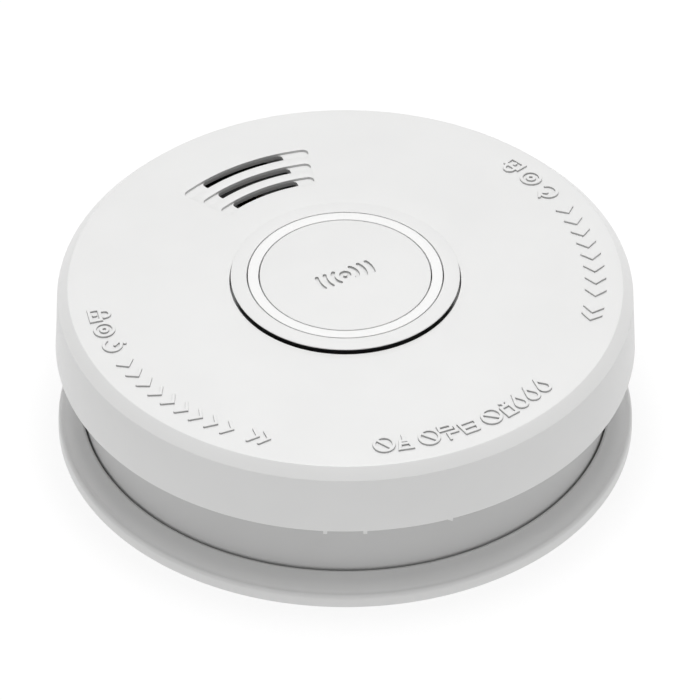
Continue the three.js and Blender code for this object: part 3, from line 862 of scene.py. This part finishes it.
def carrier():
    """The dark cup that the button's white pieces are fixed to, with its stem and snap legs."""
    cup = bmesh.new()
    lathe(
        cup,
        [
            (0, CUP_FLOOR, 0),
            (21.2, CUP_FLOOR, 0.3),
            (21.2, 35.8, 0.15),
            (CUP_RADIUS, 35.8, 0.3),
            (CUP_RADIUS, CUP_TOP, 0.15),
            (0, CUP_TOP, 0),
        ],
    )
    body = finished("carrier_cup", cup, paint["dark_plastic"])
    more = bmesh.new()
    rod(more, 2.2, 29.5, CUP_FLOOR + 0.5)
    barb = ((19.9, 32.9), (21.9, 32.9), (21.9, 32.4), (20.9, 31.2), (19.9, 31.2))
    for angle in LEG_ANGLES:
        turn = angle + UPPER_TURN
        block(more, (19.3, -2.5, 31.2), (20.7, 2.5, CUP_FLOOR + 0.5), turn)
        barb_sides = []
        for y in (-2.5, 2.5):
            plan = turned([(x, y) for x, _ in barb], turn)
            barb_sides.append([(p.x * MM, p.y * MM, z * MM) for p, (_, z) in zip(plan, barb)])
        stacked(more, barb_sides)
    join(body, more)
    light_hole = bmesh.new()
    rod(light_hole, 1.7, 36, 40, at=polar(LIGHT_LEG, UPPER_TURN))
    cut(body, light_hole)
    settle(body, "test_button", "dark_plastic", "button_carrier")


test_button()

# ---- Rear housing --------------------------------------------------------------------------------

FLOOR_BOTTOM = 3.4
FLOOR_TOP = 5.2
INLET_BOTTOM = 21.3
INLET_TOP = 24.5
DRUM_TOP = high("rear_housing")
DRUM_INNER = DRUM_RADIUS - 2
RIBS = 16
BOSS_RADIUS = 4.4
HEAD_SEAT = 14.3
PAD = ((-25, -13.6), (25, 13))  # two opposite corners of the block round the battery door
PAD_BOTTOM = 0.5
POCKET = (21.6, 9.1)  # the battery bay's half length and half width
POCKET_TOP = 19.8
HINGE_Y = -11
HINGE_Z = 1.9
HOOK_INNER = 45.4
HOOK_STEM = 47.2
HOOK_HEAD = 49.2
HOOK_HALF = 5
TWIST = 18  # how far the head turns from locked to free


def rear_housing():
    """The drum: a cup, a band on ribs over the smoke inlet, screw bosses and the battery bay."""
    bm = bmesh.new()
    cup = [(0, FLOOR_BOTTOM, 0), (DRUM_RADIUS, FLOOR_BOTTOM, 0.6), (DRUM_RADIUS, INLET_BOTTOM, 0.3)]
    cup += [(DRUM_INNER, INLET_BOTTOM, 0.2), (DRUM_INNER, FLOOR_TOP, 0.8), (0, FLOOR_TOP, 0)]
    lathe(bm, cup)
    # Painted shade: the drum takes the darker copy of the white plastic, for the shade under the skirt.
    housing = finished("housing_drum", bm, paint["housing_painted_shade"])

    more = bmesh.new()
    band = [(DRUM_INNER, INLET_TOP, 0.2), (DRUM_RADIUS, INLET_TOP, 0.4)]
    band += [(DRUM_RADIUS, DRUM_TOP, 0.3), (DRUM_INNER, DRUM_TOP, 0.2)]
    lathe(more, band)
    for k in range(RIBS):
        ends = (DRUM_INNER + 0.2, -1, INLET_BOTTOM - 0.5), (DRUM_RADIUS - 0.2, 1, INLET_TOP + 0.5)
        block(more, *ends, turn=(k + 0.5) * 360 / RIBS)
    for angle in SCREW_ANGLES:
        at = polar(SCREW_CIRCLE, angle)
        rod(more, BOSS_RADIUS, FLOOR_TOP - 1, INLET_BOTTOM, at, chamfer=0.3)
    pad_levels = [(-0.4, PAD_BOTTOM), (0, PAD_BOTTOM + 0.4), (0, FLOOR_BOTTOM + 0.5)]
    layered(more, lambda grow: rounded_plan(*PAD, 3, grow), pad_levels)
    across, up = POCKET[0] + 1.5, POCKET[1] + 1.5
    pocket_levels = [(0, FLOOR_BOTTOM + 0.5), (0, POCKET_TOP + 0.9), (-0.3, POCKET_TOP + 1.2)]
    layered(more, lambda grow: rounded_plan((-across, -up), (across, up), 1.2, grow), pocket_levels)
    join(housing, more)

    cuts = bmesh.new()
    for angle in SCREW_ANGLES:
        at = polar(SCREW_CIRCLE, angle)
        rod(cuts, 2.75, FLOOR_BOTTOM - 1, HEAD_SEAT, at)
        rod(cuts, 1.8, HEAD_SEAT - 1, 22, at)
    for angle in HOOK_ANGLES:
        spare = HOOK_HALF + 0.6
        start = angle - TWIST - spare
        narrow = sector(HOOK_INNER - 0.4, HOOK_STEM + 0.4, start, angle + spare)
        wide = sector(HOOK_INNER - 0.4, HOOK_HEAD + 0.4, start, start + 2 * spare)
        prism(cuts, narrow, FLOOR_BOTTOM - 1, FLOOR_TOP + 1)
        prism(cuts, wide, FLOOR_BOTTOM - 1, FLOOR_TOP + 1)
    block(cuts, (-POCKET[0], -POCKET[1], 0), (POCKET[0], POCKET[1], POCKET_TOP))
    block(cuts, (-22.4, -9.2, 0), (22.4, 10.6, 2.5))
    block(cuts, (-17.6, PAD[0][1] - 1, 0), (17.6, -8.7, 3.6))
    rod_along_x(cuts, 1, 19.6, HINGE_Y, HINGE_Z)
    block(cuts, (-5, 9.2, 0), (5, PAD[1][1] + 1, 1.6))
    for x in (20.3, -21.5):
        block(cuts, (x, -1.8, POCKET_TOP - 1), (x + 1.2, 1.8, POCKET_TOP + 3))
    cut(housing, cuts)
    settle(housing, HEAD, "shell_plastic", "rear_housing")


rear_housing()


def battery_door():
    """The door over the battery bay, with its hinge pins, snap tongues and finger grooves."""
    bm = bmesh.new()
    plate_levels = [(-0.3, PAD_BOTTOM), (0, PAD_BOTTOM + 0.3), (0, 1.9), (-0.2, 2.1)]
    layered(bm, lambda grow: rounded_plan((-22, -8.5), (22, 10.2), 1.2, grow), plate_levels)
    door = finished("door_panel", bm, paint["shell_plastic"])
    more = bmesh.new()
    block(more, (-17.2, HINGE_Y, 0.7), (17.2, -8, 2.1))
    rod_along_x(more, 1.3, 17.2, HINGE_Y, HINGE_Z)
    rod_along_x(more, 0.7, 19.3, HINGE_Y, HINGE_Z)
    for x in (-15, 15):
        block(more, (x - 2, 8.1, 1.6), (x + 2, 8.8, 4))
    join(door, more)
    grooves = bmesh.new()
    groove_top = PAD_BOTTOM + 0.35
    for y in (4.6, 6.2, 7.8):
        block(grooves, (-6, y, 0), (6, y + 0.7, groove_top))
    prism(grooves, [(-2.2, 1.0), (2.2, 1.0), (0, 3.2)], 0, groove_top)
    cut(door, grooves)
    settle(door, "battery_door", "shell_plastic", "battery_door")


battery_door()

# ---- Ceiling bracket -----------------------------------------------------------------------------

KEYHOLE_RADIUS = 40
KEYHOLE_HALF = 1.95
KEYHOLE_SWEEP = 14
ARC_SLOT_HALF = 11
SEAT_SPARE = 2.5  # degrees that a screw head's seat goes on past its slot
PLATE_TOP = 2
PLATE_INNER = 31
GROOVE_BAND = (56, 57.6)  # the groove in the underside, between plate and flange
RIM_INNER = 58.2


def bracket():
    """The flange and plate that stay on the ceiling, with hooks for the head and screw slots."""
    bm = bmesh.new()
    lathe(
        bm,
        [
            (PLATE_INNER, 0, 0.2),
            (GROOVE_BAND[0], 0, 0.2),
            (GROOVE_BAND[0], 3.1, 0.3),
            (GROOVE_BAND[1], 1.6, 0.3),
            (GROOVE_BAND[1], 0, 0.2),
            (FLANGE_RADIUS, 0, 0.25),
            (FLANGE_RADIUS, RIM_HEIGHT, 0.85),
            (RIM_INNER, RIM_HEIGHT, 1.2),
            (LIP_RADIUS + 0.45, LIP_HEIGHT, 0.12),
            (LIP_RADIUS, LIP_HEIGHT, 0.1),
            (LIP_RADIUS, PLATE_TOP, 0.3),
            (PLATE_INNER, PLATE_TOP, 0.3),
        ],
    )
    plate = finished("bracket_flange", bm, paint["bracket_plastic"])
    hooks = bmesh.new()
    for angle in HOOK_ANGLES:
        ends = (angle - HOOK_HALF, angle + HOOK_HALF)
        prism(hooks, sector(HOOK_INNER, HOOK_STEM, *ends), 1, 6)
        head_levels = []
        for trim, z in ((0, 5.6), (0, 6.5), (0.5, 7)):
            head_levels.append(ring_at(sector(HOOK_INNER, HOOK_HEAD - trim, *ends), z))
        stacked(hooks, head_levels)
    join(plate, hooks)
    cuts = bmesh.new()
    tip = math.degrees(KEYHOLE_HALF / KEYHOLE_RADIUS)
    for angle in (0, 180):
        rod(cuts, 4.5, -1, PLATE_TOP + 1, at=polar(KEYHOLE_RADIUS, angle))
        slot_cuts(cuts, angle, angle + KEYHOLE_SWEEP + tip, 0)
    for angle in (90, 270):
        slot_cuts(cuts, angle - ARC_SLOT_HALF, angle + ARC_SLOT_HALF, SEAT_SPARE)
    cut(plate, cuts)
    settle(plate, "bracket", "bracket_plastic", "mounting_bracket")


def slot_cuts(bm, start, end, spare):
    """A screw slot bent about the axis, and the seat for the screw's head above it."""
    slot = bent_slot(KEYHOLE_RADIUS, KEYHOLE_HALF, start, end, KEYHOLE_HALF - 0.05)
    half = KEYHOLE_HALF + 2
    seat = bent_slot(KEYHOLE_RADIUS, half, start - spare, end + SEAT_SPARE, half - 0.05)
    prism(bm, slot, -1, PLATE_TOP + 1)
    prism(bm, seat, 1, PLATE_TOP + 1)


bracket()

# ---- Inside the head -----------------------------------------------------------------------------


def sweep(bm, points, radius, segments=10):
    """A round wire along a path of points in millimetres, closed at both ends."""
    rings = []
    for i, point in enumerate(points):
        ahead = points[min(i + 1, len(points) - 1)] - points[max(i - 1, 0)]
        across = ahead.orthogonal().normalized() if not rings else across
        across = (across - ahead.normalized() * across.dot(ahead.normalized())).normalized()
        other = ahead.normalized().cross(across)
        round_section = round_plan(radius, segments)
        rings.append([(point + across * p.x + other * p.y) * MM for p in round_section])
    stacked(bm, rings)


SPRING_STEPS = 144
SPRING_TURNS = 3
SPRING_WIRE = 0.35


def battery_spring():
    """A cone of wire that narrows from its contact at X -20 towards the cell at X -15."""
    bm = bmesh.new()
    points = []
    for step in range(SPRING_STEPS + 1):
        t = step / SPRING_STEPS
        across = polar(4.4 - 1.6 * t, 360 * SPRING_TURNS * t)
        points.append(Vector((-20 + 5 * t, across.x, CELL_Z + across.y)))
    sweep(bm, points, SPRING_WIRE)
    coil = finished("spring_coil", bm, paint["spring_steel"])
    settle(coil, HEAD, "spring_steel", "battery_spring")


battery_spring()


CHAMBER_CENTRE = polar(27.5, UPPER_TURN - 90)
SCREEN_RADIUS = 17.85
SCREEN_MESHES = 120
SCREEN_ROWS = 8


def insect_screen():
    """A woven tube round the smoke chamber, from a grid whose edges become wires."""
    bm = bmesh.new()
    low_z, high_z = low("insect_screen") + 0.15, high("insect_screen") - 0.15
    plan = round_plan(SCREEN_RADIUS, SCREEN_MESHES, CHAMBER_CENTRE)
    heights = [low_z + (high_z - low_z) * row / SCREEN_ROWS for row in range(SCREEN_ROWS + 1)]
    stacked(bm, [ring_at(plan, z) for z in heights], closed_ends=False)
    screen = finished("screen_weave", bm, paint["screen_steel"])
    wires = screen.modifiers.new("wires", "WIREFRAME")
    wires.thickness = 0.22 * MM
    wires.use_boundary = True
    settle(screen, HEAD, "screen_steel", "insect_screen")


insect_screen()


THREAD_START = 15.2
THREAD_PITCH = 0.8
THREAD_TURNS = 18
THREAD_CREST = 1.3
THREAD_ROOT = 1.05


def housing_screws():
    """Four screws, head down, whose thread is a stack of ridges."""
    outline = [(0, 12, 0), (2.45, 12, 0.5), (2.45, 14, 0.15), (1.25, 14, 0.1), (1.25, 14.8, 0)]
    for turn in range(THREAD_TURNS):
        z = THREAD_START + THREAD_PITCH * turn
        outline += [(THREAD_CREST, z, 0), (THREAD_ROOT, z + THREAD_PITCH / 2, 0)]
    outline += [(THREAD_ROOT, 30, 0), (0.4, 31, 0), (0, 31, 0)]
    for number, angle in enumerate(SCREW_ANGLES, 1):
        bm = bmesh.new()
        lathe(bm, outline, SMALL)
        screw = finished(f"screw_{number}", bm, paint["screw_steel"])
        recess = bmesh.new()
        for turn in (0, 90):
            stacked(recess, cross_levels(turn))
        cut(screw, recess)
        at = polar(SCREW_CIRCLE, angle)
        screw.data.transform(Matrix.Translation((at.x * MM, at.y * MM, 0)))
        settle(screw, HEAD, "screw_steel", f"housing_screw_{number}")


def cross_levels(turn):
    """One arm pair of a cross recess that narrows as it goes in."""
    levels = []
    for half, z in ((1.7, 11.8), (0.9, 13.1)):
        arms = ((-half, -0.33), (half, -0.33), (half, 0.33), (-half, 0.33))
        levels.append(ring_at(turned(arms, turn), z))
    return levels


housing_screws()


CELL_RADIUS = 8.4
CELL_BACK = -14.2
CELL_FRONT = 19.3
BUTTON_END = 20.3


def battery_cell():
    """A short lithium cell along X: a steel can in a sleeve, with its crimp and button end."""
    profile = [(0, CELL_BACK, 0), (CELL_RADIUS, CELL_BACK, 0.6), (CELL_RADIUS, -13.0, 0)]
    profile += [(8.15, -12.9, 0), (8.15, -12.5, 0), (CELL_RADIUS, -12.4, 0)]
    profile += [(CELL_RADIUS, 16.6, 0.2), (7.9, 16.9, 0.2), (7.9, 17.5, 0.2)]
    profile += [(CELL_RADIUS, 17.8, 0.2), (CELL_RADIUS, CELL_FRONT, 0.4), (5.4, CELL_FRONT, 0.1)]
    profile += [(5.2, 18.9, 0), (3.6, 18.9, 0), (3.4, BUTTON_END, 0.3), (0, BUTTON_END, 0)]
    bm = bmesh.new()
    lathe(bm, profile, MEDIUM)
    lay = Matrix.Translation((0, 0, CELL_Z * MM)) @ Matrix.Rotation(math.radians(90), 4, "Y")
    bmesh.ops.transform(bm, matrix=lay, verts=bm.verts)
    cell = finished("cell_can", bm, paint["cell_sleeve"])
    cell.data.materials.append(paint["spring_steel"])
    for face in cell.data.polygons:
        middle = face.center / MM
        off_axis = math.hypot(middle.y, middle.z - CELL_Z)
        bare_front = middle.x > CELL_FRONT - 0.3 and off_axis < 6.5
        if bare_front or middle.x < CELL_BACK + 0.1:
            face.material_index = 1
    settle(cell, HEAD, "cell_sleeve", "battery_cell")


battery_cell()

# ---- Carried-over CAD nodes ----------------------------------------------------------------------

EDGE_WIDTH = 0.1 * MM
WELD_DISTANCE = 0.001 * MM


def soften_edges(node):
    """Small round edges on a CAD node, with its flat faces kept flat."""
    node.data.shade_smooth()
    weld = node.modifiers.new("weld", "WELD")
    weld.merge_threshold = WELD_DISTANCE
    edge = node.modifiers.new("moulded_edge", "BEVEL")
    edge.width = EDGE_WIDTH
    edge.segments = 2
    edge.limit_method = "ANGLE"
    edge.angle_limit = SHARP_ANGLE
    edge.face_strength_mode = "FSTR_ALL"
    flats = node.modifiers.new("flat_faces", "WEIGHTED_NORMAL")
    flats.use_face_influence = True
    flats.weight = 100


for entry in frame["record"]["subparts"]:
    node = nodes[entry["node"]]
    node.data.materials.clear()
    node.data.materials.append(paint[entry["material_slot"]])
    if entry["node"] not in replaced_nodes:
        soften_edges(node)

# ---- Floor, light and camera ---------------------------------------------------------------------

# Distances, heights and widths here are in metres, apart from the two that place the alarm in view.

ELEVATION = 39.84
VIEW_WIDTH = 0.145
AXIS_LEFT_OF_CENTRE = 0.98  # millimetres
BASE_BELOW_CENTRE = 15.33  # millimetres
CAMERA_DISTANCE = 0.6
FLOOR_HALF = 3.0
FLOOR_Z = -0.00005
FLOOR_ALBEDO = 0.25
FLOOR_GLOW = 0.76
SKY = 0.355
HORIZON = (-0.05, -0.02)  # the sky turns white between these upward parts of a direction
LAMPS = [(0.8, 10.6, (0.0, 0.0, 1.3)), (0.8, 2.0, (0.0, 0.7, 1.1))]  # size, watts and place


def stage():
    """A wide sheet of white paper that glows softly."""
    bm = bmesh.new()
    corners = ((-1, -1), (1, -1), (1, 1), (-1, 1))
    bm.faces.new([bm.verts.new((x * FLOOR_HALF, y * FLOOR_HALF, FLOOR_Z)) for x, y in corners])
    glow = {"Emission_Color": (1, 1, 1, 1), "Emission_Strength": FLOOR_GLOW}
    paper = material("floor_paper", (FLOOR_ALBEDO,) * 3, 0.9, **glow)
    floor = finished("floor", bm, paper, smooth=False)


def lights():
    """An even sky, white below the horizon, and soft round lamps aimed at the alarm."""
    world = bpy.data.worlds.new("studio")
    bpy.context.scene.world = world
    world.use_nodes = True
    tree = world.node_tree
    direction = tree.nodes.new("ShaderNodeTexCoord")
    split = tree.nodes.new("ShaderNodeSeparateXYZ")
    strength = tree.nodes.new("ShaderNodeMapRange")
    for socket, value in zip(("From Min", "From Max", "To Min", "To Max"), (*HORIZON, 1.0, SKY)):
        strength.inputs[socket].default_value = value
    background = tree.nodes["Background"]
    background.inputs["Color"].default_value = (1, 1, 1, 1)
    tree.links.new(direction.outputs["Generated"], split.inputs["Vector"])
    tree.links.new(split.outputs["Z"], strength.inputs["Value"])
    tree.links.new(strength.outputs["Result"], background.inputs["Strength"])
    for number, (size, watts, place) in enumerate(LAMPS):
        lamp_data = bpy.data.lights.new(f"lamp_{number}", "AREA")
        lamp_data.shape = "DISK"
        lamp_data.size = size
        lamp_data.energy = watts
        lamp = bpy.data.objects.new(f"lamp_{number}", lamp_data)
        lamp.location = place
        lamp.rotation_mode = "QUATERNION"
        lamp.rotation_quaternion = Vector(place).to_track_quat("Z", "Y")
        bpy.context.scene.collection.objects.link(lamp)


def camera():
    """An orthographic view from the front, with the alarm's foot a little below the middle."""
    data = bpy.data.cameras.new("camera")
    data.type = "ORTHO"
    data.ortho_scale = VIEW_WIDTH
    made = bpy.data.objects.new("camera", data)
    elevation = math.radians(ELEVATION)
    back = Vector((0, -math.cos(elevation), math.sin(elevation)))
    up = Vector((0, math.sin(elevation), math.cos(elevation)))
    aim = Vector((AXIS_LEFT_OF_CENTRE * MM, 0, 0)) + up * BASE_BELOW_CENTRE * MM
    made.location = aim + back * CAMERA_DISTANCE
    made.rotation_mode = "QUATERNION"
    made.rotation_quaternion = back.to_track_quat("Z", "Y")
    data.clip_start = 0.01
    data.clip_end = 20
    bpy.context.scene.collection.objects.link(made)
    bpy.context.scene.camera = made


stage()
lights()
camera()
bpy.context.scene.view_settings.view_transform = "Standard"
